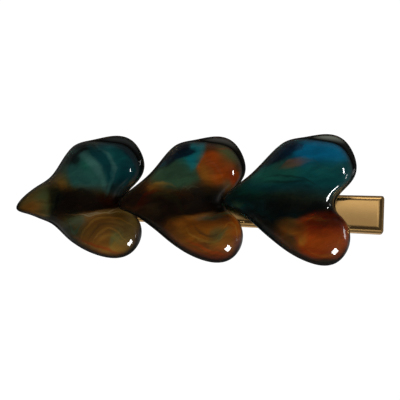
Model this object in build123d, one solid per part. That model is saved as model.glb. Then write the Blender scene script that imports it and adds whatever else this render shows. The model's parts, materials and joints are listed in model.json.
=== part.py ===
from build123d import *
import math
import os

import numpy as np

# A beak hair clip of pressed gold-coloured sheet, with a row of three puffy marbled hearts on
# its upper arm. Millimetres. The clip is drawn with its plate level: x runs from the jaw's tip
# to the finger end, y across, and z is 0 on the plate's outer face. At the end everything is
# set down as the clip lies by itself, on the jaw's tip and the lever's end, hearts upwards.

# Upper arm
clip_length = 81.0
plate_width = 9.5
tip_width = 7.0
sheet = 0.6
edge_round = 1.75
corner_radius = 1.0
flange_depth = 2.9
front_lip = 0.3
pivot_from_jaw = 61.0
ear_flare = 4.0

# Pin and running fits
pin_radius = 0.9
pin_depth = 3.6
ear_radius = 1.9
rivet_head_radius = 1.6
rivet_head_height = 0.5
rivet_head_round = 0.3
pressed_gap = 0.02
running_gap = 0.06

# Lower arm
side_gap = 0.75
arm_gap = 0.2
jaw_setback = 0.9
jaw_depth = 4.6
tooth_pitch = 2.0
tooth_depth = 1.1
tooth_count = 9
first_tooth = 1.2
jaw_shoulder = 12.0
lever_bend = 3.2
lever_angle = 20.0
lever_setback = 1.7
lever_flange = 2.0
lever_corner = 0.7
opening_angle = 18.0

# Spring
wire_radius = 0.4
coil_gap = 0.45
coil_turns = 3
coil_spacing = 0.95
leg_reach = 8.5
foot_length = 2.6
leg_gap = 0.12
wire_sides = 8
steps_per_turn = 16

# Hearts
heart_length = 31.6
heart_thickness = 8.0
seat_gap = 0.12
tip_rise = 1.2
top_rings = 15
back_rings = 5
rim_segments = 72

# Each heart: its length and where its middle sits along and across the plate, as shares of the
# heart length, then its turn about the plate's normal and its pitch, tip upwards, in degrees.
# The others are shares of its own length: breadth stretches the outline across, drop bends the
# tip aside, neck draws in the waist behind the tip, and stub shortens the lower lobe.
heart_columns = ("length", "along", "across", "turn", "pitch", "breadth", "drop", "neck", "stub")
heart_rows = {
    "heart_left": (1.000, 0.266, 0.027, 4.0, 0.0, 0.99, -0.040, 0.19, -0.006),
    "heart_middle": (1.000, 1.038, 0.032, 4.2, 10.4, 1.02, -0.020, 0.05, 0.000),
    "heart_right": (1.041, 1.870, 0.068, 2.4, 8.4, 1.02, 0.000, 0.00, 0.014),
}
hearts = {name: dict(zip(heart_columns, row)) for name, row in heart_rows.items()}
for heart in hearts.values():
    for column in ("length", "along", "across"):
        heart[column] *= heart_length

# The heart's outline as shares of its length, anticlockwise from the tip. Its columns are the
# place along, the place across, the width of the ledge outside the foot of the dome, and the
# dome's power, with which its top is flatter and its side steeper.
ALONG, ACROSS, LEDGE, POWER = range(4)
outline_rows = (
    (0.000, -0.015, 0.004, 2.8),
    (0.060, 0.068, 0.008, 2.9),
    (0.190, 0.168, 0.012, 3.1),
    (0.325, 0.302, 0.015, 3.2),
    (0.460, 0.422, 0.012, 3.2),
    (0.610, 0.462, 0.022, 3.8),
    (0.780, 0.487, 0.070, 5.6),
    (0.925, 0.430, 0.065, 6.0),
    (1.000, 0.265, 0.045, 7.0),
    (0.954, 0.130, 0.030, 9.0),
    (0.855, 0.020, 0.022, 9.0),
    (0.852, -0.085, 0.016, 5.0),
    (0.935, -0.175, 0.012, 3.4),
    (0.956, -0.320, 0.004, 2.7),
    (0.870, -0.448, 0.004, 2.7),
    (0.720, -0.478, 0.004, 2.7),
    (0.545, -0.420, 0.005, 2.8),
    (0.400, -0.326, 0.010, 3.0),
    (0.260, -0.208, 0.012, 3.1),
    (0.140, -0.106, 0.008, 2.9),
    (0.045, -0.060, 0.005, 2.8),
)
heart_middle_share = 0.55
seat_end_share = 0.85
neck_share = 0.265
neck_reach = 0.10
bend_reach = 0.45
stub_start = 0.60
stub_run = 0.35
stub_side = 0.30
rise_reach = 0.40
tip_taper = 0.42
taper_reach = 0.50
rim_share = 0.30
ledge_share = 0.42
ledge_power = 6.0
back_power = 8.0
merge_power = 5.0
crease_depth = 0.24
crease_start = 0.30
crease_run = 0.50
crease_deepening = 0.35
crease_above = 0.110
crease_below = 0.050
crease_left = -0.165
crease_right = -0.085

front_flange_depth = edge_round + front_lip
inner_round = max(edge_round - sheet, sheet / 4)
jaw_inset = sheet + side_gap
into_round = max(inner_round - side_gap, 0)
round_clear = math.sqrt(max((inner_round - arm_gap) ** 2 - into_round**2, 0))
jaw_top = -sheet - max(arm_gap, inner_round - round_clear)
jaw_front = sheet + jaw_setback
lever_start = pivot_from_jaw + lever_bend
lever_end = clip_length - lever_setback
lever_fall = math.tan(math.radians(lever_angle))
lever_end_z = -jaw_depth - (lever_end - lever_start) * lever_fall


def side_face(points):
    """Closed outline in the plane of x and z."""
    return Plane.XZ * make_face(Polyline(*points, close=True))


def across(x, z, radius, length):
    """Round bar across the clip, centred on its middle plane."""
    return Plane.XZ * Pos(x, z) * Cylinder(radius, length)


def half_width(x, inset=0.0):
    """Half of the tapered plate's width at this place along it, less an inset."""
    return (tip_width + (plate_width - tip_width) * x / clip_length) / 2 - inset


def plan_block(start, end, inset, top, bottom):
    """Upright block whose long sides follow the plate's taper, drawn in by an inset."""
    near = half_width(start, inset)
    far = half_width(end, inset)
    corners = ((start, -near), (end, -far), (end, far), (start, near))
    plan = make_face(Polyline(*corners, close=True))
    return Pos(0, 0, bottom) * extrude(plan, top - bottom, dir=(0, 0, 1))


def tray(start, end, inset, top, bottom, corner, edge):
    """Tapered block with rounded upright corners and rounded top edges."""
    block = plan_block(start, end, inset, top, bottom)
    rounded = fillet(block.edges().filter_by(Axis.Z), corner)
    return rounded & fillet(block.faces().sort_by(Axis.Z)[-1].edges(), edge)


def make_upper_arm():
    """Tapered tray, open below, whose two flanges are low in front and deepen at the pin."""
    ear_bottom = -pin_depth - ear_radius
    shell = tray(0, clip_length, 0, 0, ear_bottom, corner_radius, edge_round)
    left = pivot_from_jaw - ear_radius
    right = pivot_from_jaw + ear_radius
    flange = (
        (0, 0),
        (clip_length, 0),
        (clip_length, -flange_depth),
        (right + ear_flare, -flange_depth),
        (right, -pin_depth),
        (left, -pin_depth),
        (left - ear_flare, -front_flange_depth),
        (0, -front_flange_depth),
    )
    profile = extrude(side_face(flange), plate_width, both=True)
    profile += across(pivot_from_jaw, -pin_depth, ear_radius, 2 * plate_width)
    hollow = tray(
        sheet,
        clip_length - sheet,
        sheet,
        -sheet,
        ear_bottom - sheet,
        max(corner_radius - sheet, corner_radius / 4),
        inner_round,
    )
    arm = (shell & profile) - hollow
    return arm - across(pivot_from_jaw, -pin_depth, pin_radius + pressed_gap, 2 * plate_width)


def tooth_line():
    """Saw edge on top of the jaw's two flanges, from its back to its front."""
    points = []
    for number in reversed(range(tooth_count)):
        start = jaw_front + first_tooth + number * tooth_pitch
        points.append((start + tooth_pitch, jaw_top))
        points.append((start + tooth_pitch / 2, jaw_top - tooth_depth))
    points.append((jaw_front + first_tooth, jaw_top))
    return points


def make_lower_arm():
    """Toothed jaw and finger lever, one channel open upwards, with a window for the spring."""
    shoulder = pivot_from_jaw - jaw_shoulder
    neck = pivot_from_jaw - ear_radius - wire_radius
    neck_top = -jaw_depth + lever_flange
    outer = [(jaw_front, -jaw_depth), (lever_start, -jaw_depth), (lever_end, lever_end_z)]
    outer += [(lever_end, lever_end_z + lever_flange), (lever_start, neck_top)]
    outer += [(neck, neck_top), (shoulder, jaw_top)]
    outer += tooth_line() + [(jaw_front, jaw_top)]
    arm = extrude(side_face(outer), plate_width, both=True)
    arm += across(pivot_from_jaw, -pin_depth, ear_radius, 2 * plate_width)
    plan = plan_block(jaw_front, lever_end, jaw_inset, 0, lever_end_z)
    arm &= fillet(plan.edges().filter_by(Axis.Z), lever_corner)
    floor = -jaw_depth + sheet
    inner = [(jaw_front + sheet, floor), (lever_start, floor)]
    inner += [(lever_end - sheet, lever_end_z + sheet + sheet * lever_fall)]
    inner += [(lever_end - sheet, 0), (jaw_front + sheet, 0)]
    channel = extrude(side_face(inner), plate_width, both=True)
    window_front = pin_radius + 2 * coil_gap + 2 * wire_radius
    window = Pos(pivot_from_jaw + (leg_reach - window_front) / 2, 0, -pin_depth)
    window_depth = 2 * (jaw_depth - pin_depth + leg_reach * lever_fall)
    channel += window * Box(leg_reach + window_front, 2 * plate_width, window_depth)
    arm -= channel & plan_block(jaw_front, lever_end, jaw_inset + sheet, 0, 2 * lever_end_z)
    return arm - across(pivot_from_jaw, -pin_depth, pin_radius + running_gap, 2 * plate_width)


def make_pivot_pin():
    """Rivet through all four ears, with a low rounded head on each outer face."""
    seat = half_width(pivot_from_jaw + rivet_head_radius) + pressed_gap
    pin = across(pivot_from_jaw, -pin_depth, pin_radius, 2 * seat)
    head_middle = seat + rivet_head_height / 2
    for side in (-1, 1):
        head = across(pivot_from_jaw, -pin_depth, rivet_head_radius, rivet_head_height)
        face = head.faces().sort_by(Axis.Y)[0 if side < 0 else -1]
        head = fillet(face.edges(), min(rivet_head_round, 0.9 * rivet_head_height))
        pin += Pos(0, side * head_middle, 0) * head
    return pin


def facet(a, b, c):
    return Face(Wire.make_polygon([tuple(a), tuple(b), tuple(c)], close=True))


def faceted_solid(rings, first_end, last_end):
    """Closed solid of triangles over rings of points, each end closed by a fan to one point."""
    count = len(rings[0])
    faces = []
    for number in range(count):
        after = (number + 1) % count
        faces.append(facet(first_end, rings[0][after], rings[0][number]))
        faces.append(facet(last_end, rings[-1][number], rings[-1][after]))
        for near, far in zip(rings, rings[1:]):
            faces.append(facet(near[number], near[after], far[after]))
            faces.append(facet(near[number], far[after], far[number]))
    return Solid(Shell(faces))


def tangent_turn(knee, radius, side):
    """Angle on the coil where a straight leg to this knee leaves it, above (1) or below (-1)."""
    distance = math.hypot(*knee)
    return math.atan2(knee[1], knee[0]) + side * math.acos(radius / distance)


def spring_path():
    """Wire's centre line: upper foot and leg, turns about the pin, lower leg and foot."""
    radius = pin_radius + coil_gap + wire_radius
    above = pin_depth - sheet - leg_gap - wire_radius
    floor = pin_depth - jaw_depth + sheet - (leg_reach - lever_bend) * lever_fall
    below = floor + (leg_gap + wire_radius) * math.hypot(1, lever_fall)
    start = tangent_turn((leg_reach, above), radius, 1)
    end = tangent_turn((leg_reach, below), radius, -1) + 2 * math.pi * (coil_turns + 1)
    turns = (end - start) / (2 * math.pi)
    steps = round(turns * steps_per_turn)
    turn = np.linspace(start, end, steps + 1)
    y = (np.linspace(0, 1, steps + 1) - 0.5) * turns * coil_spacing
    coil = np.stack([radius * np.cos(turn), y, radius * np.sin(turn)], axis=1)
    foot_end = leg_reach + foot_length
    upper = [(foot_end, y[0], above), (leg_reach, y[0], above)]
    lower = [(leg_reach, y[-1], below), (foot_end, y[-1], below - foot_length * lever_fall)]
    return np.vstack([upper, coil, lower]) + np.array([pivot_from_jaw, 0, -pin_depth])


def make_spring():
    """Round wire swept along the spring's path as a tube with a few flat sides."""
    path = spring_path()
    tangent = np.gradient(path, axis=0)
    tangent /= np.linalg.norm(tangent, axis=1)[:, None]
    side = np.array([0.0, 1.0, 0.0]) - tangent * tangent[:, 1:2]
    side /= np.linalg.norm(side, axis=1)[:, None]
    other = np.cross(tangent, side)
    angle = np.arange(wire_sides) * 2 * math.pi / wire_sides
    rings = [
        path[i]
        + wire_radius * (np.outer(np.cos(angle), side[i]) + np.outer(np.sin(angle), other[i]))
        for i in range(len(path))
    ]
    return faceted_solid(rings, path[0], path[-1])


def closed_curve(knots, count):
    """Uniform cubic B-spline, closed, that passes through every knot."""
    total = len(knots)
    one = np.eye(total)
    mix = (4 * one + np.roll(one, 1, axis=1) + np.roll(one, -1, axis=1)) / 6
    hull = np.linalg.solve(mix, knots)
    place = np.arange(count) * total / count
    knot = np.floor(place).astype(int)
    part = (place - knot)[:, None]
    weights = (
        (1 - part) ** 3 / 6,
        (3 * part**3 - 6 * part**2 + 4) / 6,
        (-3 * part**3 + 3 * part**2 + 3 * part + 1) / 6,
        part**3 / 6,
    )
    return sum(w * hull[(knot + shift - 1) % total] for shift, w in enumerate(weights))


def ramp(value):
    """0 up to 0, 1 from 1 on, and a smooth rise between."""
    value = np.clip(value, 0, 1)
    return value * value * (3 - 2 * value)


def heart_rim(heart):
    """The outline with this heart's own waist, tip and lower lobe, as shares."""
    rim = closed_curve(np.array(outline_rows), rim_segments)
    waist = np.exp(-(((rim[:, ALONG] - neck_share) / neck_reach) ** 2))
    rim[:, ACROSS] *= heart["breadth"] * (1 - heart["neck"] * waist)
    rim[:, ACROSS] += heart["drop"] * np.clip(1 - rim[:, ALONG] / bend_reach, 0, 1)
    lobe_end = ramp((rim[:, ALONG] - stub_start) / stub_run) * ramp(-rim[:, ACROSS] / stub_side)
    rim[:, ALONG] -= heart["stub"] * lobe_end
    return rim


def heart_heights(along, aside, reach, rim, length_out):
    """Heights of the top and the back, as shares of the thickness, before the tip's rise."""
    dome_reach = reach / (1 - rim[:, LEDGE] / length_out)
    taper = tip_taper + (1 - tip_taper) * ramp(along / taper_reach)
    past_start = along - crease_start
    middle = crease_left + (crease_right - crease_left) * ramp(past_start / crease_run)
    width = np.where(aside > middle, crease_above, crease_below)
    crease = np.exp(-(((aside - middle) / width) ** 2))
    crease = 1 - crease_depth * crease * ramp(past_start / crease_deepening)
    dome = np.sqrt(1 - np.clip(dome_reach, 0, 1) ** rim[:, POWER]) * crease
    skirt = ledge_share * np.sqrt(1 - reach**ledge_power)
    hill = (dome**merge_power + skirt**merge_power) ** (1 / merge_power)
    top = taper * (rim_share + (1 - rim_share) * hill)
    back = taper * rim_share * (1 - np.sqrt(1 - reach**back_power))
    return top, back


def make_heart(heart):
    """Puffy heart: a dome over a low ledge, creased under the lower lobe, on a flat back."""
    rim = heart_rim(heart)
    centre = np.array([heart_middle_share, 0.0])
    spoke = rim[:, :LEDGE] - centre
    length_out = np.linalg.norm(spoke, axis=1)
    length = heart["length"]

    def ring(reach, upper):
        """One ring of points at this share of the way out to the rim."""
        flat = centre + spoke * reach
        heights = heart_heights(flat[:, ALONG], flat[:, ACROSS], reach, rim, length_out)
        rise = tip_rise * np.clip(1 - flat[:, ALONG] / rise_reach, 0, 1) ** 2
        height = heart_thickness * heights[0 if upper else 1] + rise
        return np.column_stack([(flat - centre) * length, height])

    outward = np.sin(np.arange(1, top_rings + 1) / top_rings * math.pi / 2)
    inward = np.sin(np.arange(back_rings, 0, -1) / (back_rings + 1) * math.pi / 2)
    rings = [ring(reach, True) for reach in outward]
    rings += [ring(reach, False) for reach in inward]
    crown = ring(0.0, True)[0]
    base = ring(0.0, False)[0]
    hinge = (seat_end_share - heart_middle_share) * length
    solid = Pos(-hinge, 0, 0) * faceted_solid(rings, crown, base)
    solid = Pos(hinge, 0, seat_gap) * Rot(0, heart["pitch"], 0) * solid
    return Pos(heart["along"], heart["across"], 0) * Rot(0, 0, heart["turn"]) * solid


def make_pieces():
    """Every piece in the clip's own level frame, by name."""
    pieces = {
        "upper_arm": make_upper_arm(),
        "lower_arm": make_lower_arm(),
        "pivot_pin": make_pivot_pin(),
        "spring": make_spring(),
    }
    for name, heart in hearts.items():
        pieces[name] = make_heart(heart)
    return pieces


def set_down(pieces):
    """Turned so that jaw tip and lever end touch the floor, and centred above the origin."""
    run = lever_end - jaw_front
    slope = math.degrees(math.atan2(-jaw_depth - lever_end_z, run))
    turned = {name: Rot(0, -slope, 0) * piece for name, piece in pieces.items()}
    box = Compound(children=list(turned.values())).bounding_box()
    shift = Pos(-(box.min.X + box.max.X) / 2, -(box.min.Y + box.max.Y) / 2, -box.min.Z)
    return shift * Rot(0, -slope, 0)


pieces = make_pieces()
lying = set_down(pieces)
os.makedirs("parts", exist_ok=True)
for name, piece in pieces.items():
    placed = lying * piece
    placed.label = name
    export_step(placed, f"parts/{name}.step")
pin_point = (lying * Pos(pivot_from_jaw, 0, -pin_depth)).position
print("pin", pin_point, "opens to", opening_angle, "degrees")
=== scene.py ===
"""A gold-coloured beak hair clip with a row of three puffy marbled hearts, dressed for a studio.

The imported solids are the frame. The hearts and the spring are worked out again here as finer
surfaces in the same places, and every piece gets its finish. Lengths are millimetres in the
clip's own level frame, where x runs from the jaw's tip to the finger end, y across and z is 0
on the plate's outer face. They become metres in the shared frame when a mesh is made.
"""
import json
import math

import bpy
import numpy as np
from mathutils import Matrix, Vector


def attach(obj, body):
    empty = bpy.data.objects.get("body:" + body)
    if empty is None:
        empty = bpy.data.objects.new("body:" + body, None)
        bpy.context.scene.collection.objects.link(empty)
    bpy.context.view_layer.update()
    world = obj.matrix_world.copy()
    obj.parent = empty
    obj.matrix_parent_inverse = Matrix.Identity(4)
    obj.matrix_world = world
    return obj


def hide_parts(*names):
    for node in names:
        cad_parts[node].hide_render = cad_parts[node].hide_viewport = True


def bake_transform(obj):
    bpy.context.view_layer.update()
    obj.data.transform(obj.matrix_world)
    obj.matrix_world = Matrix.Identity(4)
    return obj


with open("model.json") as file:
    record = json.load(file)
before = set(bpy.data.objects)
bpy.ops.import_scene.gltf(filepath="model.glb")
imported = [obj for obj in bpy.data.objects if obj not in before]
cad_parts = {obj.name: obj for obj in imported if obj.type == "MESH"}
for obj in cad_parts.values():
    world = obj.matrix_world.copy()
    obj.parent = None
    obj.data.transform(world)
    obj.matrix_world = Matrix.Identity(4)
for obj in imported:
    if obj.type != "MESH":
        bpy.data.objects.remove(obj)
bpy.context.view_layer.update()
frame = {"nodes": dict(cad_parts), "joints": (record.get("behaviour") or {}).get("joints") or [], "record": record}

MM = 0.001

# The clip's level frame in the shared frame, from the hinge's place and the jaw's outer face
pivot_from_jaw = 61.0
pin_depth = 3.6
hinge = frame["joints"][0]
mounts = {mount["name"]: mount for mount in frame["record"]["mounts"]}
plate_normal = -Vector(mounts["jaw_back"]["axis"]).normalized()
tilt = math.atan2(-plate_normal.x, plate_normal.z)
level_pin = Vector((pivot_from_jaw, 0, -pin_depth)) * MM
level_frame = Matrix.Translation(Vector(hinge["pos_m"])) @ Matrix.Rotation(-tilt, 4, "Y")
level_frame = level_frame @ Matrix.Translation(-level_pin)

# Sizes of the clip and its spring that the finer meshes follow
sheet = 0.6
jaw_depth = 4.6
lever_bend = 3.2
lever_fall = math.tan(math.radians(20.0))
pin_radius = 0.9
wire_radius = 0.4
coil_gap = 0.45
coil_turns = 3
coil_spacing = 0.95
leg_reach = 8.5
foot_length = 2.6
leg_gap = 0.12
knee_radius = 0.9
knee_steps = 10
wire_sides = 16
steps_per_turn = 40

# Hearts: how finely they are worked out, and their shape, as the solids have it. Length, along
# and across of each are shares of one heart's length, and turn and pitch are degrees.
top_rings = 64
back_rings = 20
rim_segments = 192
heart_length = 31.6
heart_thickness = 8.0
seat_gap = 0.12
tip_rise = 1.2
heart_columns = ("length", "along", "across", "turn", "pitch", "breadth", "drop", "neck", "stub")
heart_rows = {
    "heart_left": (1.000, 0.266, 0.027, 4.0, 0.0, 0.99, -0.040, 0.19, -0.006),
    "heart_middle": (1.000, 1.038, 0.032, 4.2, 10.4, 1.02, -0.020, 0.05, 0.000),
    "heart_right": (1.041, 1.870, 0.068, 2.4, 8.4, 1.02, 0.000, 0.00, 0.014),
}
hearts = {name: dict(zip(heart_columns, row)) for name, row in heart_rows.items()}
for heart in hearts.values():
    for column in ("length", "along", "across"):
        heart[column] *= heart_length

# Knots round the outline as shares of the length, with how far inside it the dome's foot lies
# and the power of the dome there
ALONG, ACROSS, LEDGE, POWER = range(4)
outline_rows = (
    (0.000, -0.015, 0.004, 2.8),
    (0.060, 0.068, 0.008, 2.9),
    (0.190, 0.168, 0.012, 3.1),
    (0.325, 0.302, 0.015, 3.2),
    (0.460, 0.422, 0.012, 3.2),
    (0.610, 0.462, 0.022, 3.8),
    (0.780, 0.487, 0.070, 5.6),
    (0.925, 0.430, 0.065, 6.0),
    (1.000, 0.265, 0.045, 7.0),
    (0.954, 0.130, 0.030, 9.0),
    (0.855, 0.020, 0.022, 9.0),
    (0.852, -0.085, 0.016, 5.0),
    (0.935, -0.175, 0.012, 3.4),
    (0.956, -0.320, 0.004, 2.7),
    (0.870, -0.448, 0.004, 2.7),
    (0.720, -0.478, 0.004, 2.7),
    (0.545, -0.420, 0.005, 2.8),
    (0.400, -0.326, 0.010, 3.0),
    (0.260, -0.208, 0.012, 3.1),
    (0.140, -0.106, 0.008, 2.9),
    (0.045, -0.060, 0.005, 2.8),
)

# Where the forms of a heart begin and end, as shares of its length, or of its thickness if high
heart_middle_share = 0.55
seat_end_share = 0.85
neck_share = 0.265
neck_reach = 0.10
bend_reach = 0.45
stub_start = 0.60
stub_run = 0.35
stub_side = 0.30
rise_reach = 0.40
tip_taper = 0.42
taper_reach = 0.50
rim_share = 0.30
ledge_share = 0.42
ledge_power = 6.0
back_power = 8.0
merge_power = 5.0
crease_depth = 0.24
crease_start = 0.30
crease_run = 0.50
crease_deepening = 0.35
crease_above = 0.110
crease_below = 0.050
crease_left = -0.165
crease_right = -0.085

# Colours of the marbling, as the share of red, green and blue light that the glass lets through
glass_colours = {
    "black": (0.004, 0.006, 0.006),
    "smoke": (0.022, 0.032, 0.018),
    "umber": (0.088, 0.040, 0.011),
    "olive": (0.150, 0.095, 0.020),
    "moss": (0.110, 0.140, 0.045),
    "amber": (0.330, 0.105, 0.008),
    "honey": (0.550, 0.270, 0.035),
    "orange": (0.460, 0.075, 0.005),
    "rust": (0.340, 0.037, 0.006),
    "violet": (0.090, 0.040, 0.075),
    "navy": (0.001, 0.004, 0.012),
    "blue": (0.001, 0.210, 0.410),
    "deep_teal": (0.002, 0.062, 0.074),
    "teal": (0.006, 0.140, 0.140),
    "lagoon": (0.003, 0.230, 0.270),
    "pale_teal": (0.032, 0.150, 0.125),
    "mist": (0.120, 0.330, 0.290),
    "sage": (0.050, 0.120, 0.062),
    "green": (0.018, 0.180, 0.115),
    "pale": (0.700, 0.620, 0.400),
    "slate": (0.150, 0.140, 0.125),
}

# Ground colour of each heart and the pools of colour over it, broad ones first; the marked ones are painted shade
# and a painted reflection. A row gives the colour, the place along from the tip and across, and the reach along
# and across, all four as shares of the heart's length, the turn in degrees, the soft share of the edge, and the
# weight.
heart_grounds = {"heart_left": "olive", "heart_middle": "umber", "heart_right": "deep_teal"}
heart_pools = {
    "heart_left": (
        ("deep_teal", 0.82, 0.22, 0.24, 0.30, 0, 0.25, 1.0),
        ("teal", 0.79, 0.31, 0.08, 0.07, 0, 0.60, 0.6),
        ("pale_teal", 0.56, 0.19, 0.16, 0.19, 25, 0.16, 1.0),
        ("green", 0.55, 0.23, 0.04, 0.05, 20, 0.60, 0.7),
        ("deep_teal", 0.71, 0.24, 0.035, 0.10, 25, 0.40, 0.9),
        ("smoke", 0.42, 0.30, 0.26, 0.05, 40, 0.50, 0.9),
        ("black", 0.47, 0.28, 0.04, 0.05, 30, 0.50, 0.9),
        ("black", 0.56, 0.36, 0.07, 0.025, 10, 0.50, 0.9),
        ("navy", 0.88, 0.38, 0.13, 0.07, -35, 0.50, 0.8),
        ("umber", 0.58, -0.03, 0.28, 0.10, 0, 0.40, 0.9),
        ("rust", 0.73, -0.04, 0.09, 0.05, 0, 0.60, 0.5),
        ("honey", 0.36, 0.10, 0.03, 0.03, 0, 0.60, 0.6),
        ("moss", 0.27, 0.00, 0.10, 0.09, 10, 0.40, 0.9),
        ("amber", 0.13, -0.07, 0.11, 0.04, 20, 0.50, 0.6),
        # The next two black pools are painted shade at the cleft, under the next heart's tip
        ("black", 0.77, 0.03, 0.08, 0.04, 0, 0.60, 0.9),
        ("black", 0.84, 0.02, 0.08, 0.09, 0, 0.70, 0.8),
        ("olive", 0.70, -0.28, 0.26, 0.17, 0, 0.20, 1.0),
        ("amber", 0.62, -0.24, 0.15, 0.09, -10, 0.60, 0.6),
        ("sage", 0.46, -0.19, 0.08, 0.05, -20, 0.50, 0.9),
        ("moss", 0.77, -0.31, 0.05, 0.04, 20, 0.50, 0.7),
        ("amber", 0.66, -0.37, 0.20, 0.030, -15, 0.50, 0.8),
        ("honey", 0.74, -0.45, 0.20, 0.045, -5, 0.50, 0.7),
        ("umber", 0.66, -0.28, 0.24, 0.14, 0, 0.60, 0.35),
        # This violet pool is a painted reflection beside the lower lobe's highlight
        ("violet", 0.94, -0.36, 0.04, 0.10, -10, 0.60, 0.8),
        ("smoke", 0.34, -0.21, 0.16, 0.04, -38, 0.60, 0.9),
        ("pale", 0.66, -0.145, 0.14, 0.006, 3, 0.70, 0.5),
    ),
    "heart_middle": (
        ("sage", 0.47, 0.20, 0.22, 0.13, 10, 0.25, 1.0),
        ("lagoon", 0.58, 0.34, 0.07, 0.10, -20, 0.40, 1.0),
        ("navy", 0.45, 0.35, 0.15, 0.055, 42, 0.30, 1.0),
        ("blue", 0.35, 0.29, 0.035, 0.03, 40, 0.60, 0.8),
        ("orange", 0.75, 0.23, 0.165, 0.115, -32, 0.20, 1.0),
        ("amber", 0.67, 0.18, 0.05, 0.09, 20, 0.50, 0.8),
        ("moss", 0.87, 0.35, 0.09, 0.08, -40, 0.50, 0.9),
        ("green", 0.83, 0.11, 0.04, 0.025, 0, 0.60, 0.7),
        ("rust", 0.88, 0.15, 0.04, 0.06, 10, 0.50, 0.8),
        # The next two black pools are painted shade at the cleft, round the next heart's tip
        ("black", 0.70, 0.02, 0.20, 0.06, -3, 0.50, 0.9),
        ("black", 0.80, -0.02, 0.14, 0.10, 0, 0.70, 0.9),
        ("umber", 0.35, -0.03, 0.16, 0.08, 0, 0.40, 0.8),
        ("honey", 0.30, 0.09, 0.06, 0.03, 10, 0.60, 0.5),
        ("rust", 0.19, -0.02, 0.06, 0.02, 20, 0.60, 0.6),
        ("amber", 0.66, -0.29, 0.30, 0.16, 0, 0.20, 1.0),
        ("honey", 0.42, -0.22, 0.08, 0.05, -25, 0.50, 0.6),
        ("moss", 0.74, -0.28, 0.05, 0.05, 0, 0.60, 0.7),
        ("teal", 0.68, -0.165, 0.10, 0.015, 0, 0.60, 0.6),
        ("rust", 0.70, -0.43, 0.20, 0.05, -12, 0.50, 0.85),
        ("umber", 0.66, -0.42, 0.20, 0.05, -12, 0.60, 0.85),
        ("orange", 0.90, -0.22, 0.05, 0.10, 0, 0.60, 0.6),
        ("violet", 0.93, -0.38, 0.05, 0.07, 10, 0.60, 0.7),
        ("umber", 0.38, -0.24, 0.18, 0.035, -38, 0.60, 0.8),
    ),
    "heart_right": (
        ("blue", 0.72, 0.34, 0.20, 0.12, 5, 0.35, 1.0),
        ("teal", 0.74, 0.18, 0.20, 0.10, 0, 0.40, 0.9),
        ("navy", 0.43, 0.34, 0.14, 0.05, 38, 0.40, 1.0),
        ("green", 0.38, 0.17, 0.17, 0.07, 8, 0.50, 0.65),
        ("amber", 0.53, 0.25, 0.09, 0.02, 15, 0.70, 0.5),
        ("violet", 0.54, 0.38, 0.03, 0.02, 20, 0.60, 0.7),
        ("black", 0.47, 0.11, 0.18, 0.012, 0, 0.60, 0.7),
        ("smoke", 0.60, -0.04, 0.30, 0.10, 0, 0.50, 0.9),
        ("sage", 0.09, -0.07, 0.05, 0.03, 20, 0.60, 0.8),
        ("orange", 0.74, -0.28, 0.23, 0.18, 0, 0.15, 1.0),
        ("honey", 0.49, -0.24, 0.11, 0.055, -22, 0.40, 0.85),
        ("honey", 0.57, -0.32, 0.025, 0.03, -40, 0.60, 0.8),
        ("honey", 0.70, -0.18, 0.06, 0.012, 0, 0.60, 0.6),
        ("rust", 0.70, -0.41, 0.18, 0.03, -12, 0.50, 0.8),
        ("black", 0.78, -0.47, 0.12, 0.02, 0, 0.60, 0.7),
        ("umber", 0.36, -0.25, 0.20, 0.04, -38, 0.50, 0.9),
    ),
}

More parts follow.
